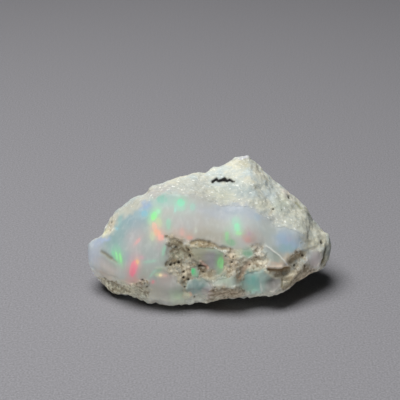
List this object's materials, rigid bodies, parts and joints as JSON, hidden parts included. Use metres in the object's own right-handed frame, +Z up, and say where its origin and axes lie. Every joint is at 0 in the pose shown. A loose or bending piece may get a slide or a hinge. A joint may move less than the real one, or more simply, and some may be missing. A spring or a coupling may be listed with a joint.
{
  "type": "rough opal specimen",
  "caption": "Rough piece of precious opal with a smooth milky face showing colour flashes, granular matrix rind and rough pockets, lying on a worn facet.",
  "frame": {"origin": "centre of the bounding box at the surface that the stone lies on", "axes": "+X along the stone to the right end as seen from the glassy face, +Y away from the glassy face, +Z up"},
  "size_m": [0.046, 0.025, 0.024],
  "materials": {
    "opal": "milky translucent opal with a waxy gloss and small colour flashes, under a dull cream-grey granular matrix with tan pockets"
  },
  "bodies": {
    "root": {"opal_stone": "opal"}
  },
  "joints": []
}
